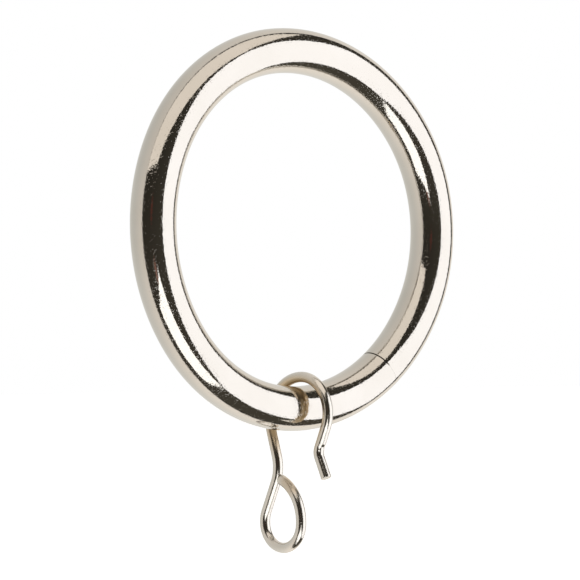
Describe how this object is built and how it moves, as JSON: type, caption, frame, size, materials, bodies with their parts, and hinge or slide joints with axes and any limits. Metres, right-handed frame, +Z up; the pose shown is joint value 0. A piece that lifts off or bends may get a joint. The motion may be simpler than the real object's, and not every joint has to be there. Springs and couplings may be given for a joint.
{
  "type": "curtain ring",
  "caption": "Nickel-plated curtain ring bent from round tube with a butt seam, with a loose bent-wire hook that has a teardrop eye for a curtain pin.",
  "frame": {"origin": "middle of the ring, on the axis of the curtain pole that passes through it", "axes": "+Y along the pole, through the ring; +Z up, as the ring hangs, with the hook below; +X to the ring's right as seen from the hook's open side"},
  "size_m": [0.054, 0.0131, 0.0705],
  "materials": {
    "ring_nickel": "bright warm nickel plate on a bent tube",
    "hook_nickel": "bright warm nickel plate on drawn wire"
  },
  "bodies": {
    "root": {"ring": "ring_nickel", "hook": "hook_nickel"}
  },
  "joints": []
}
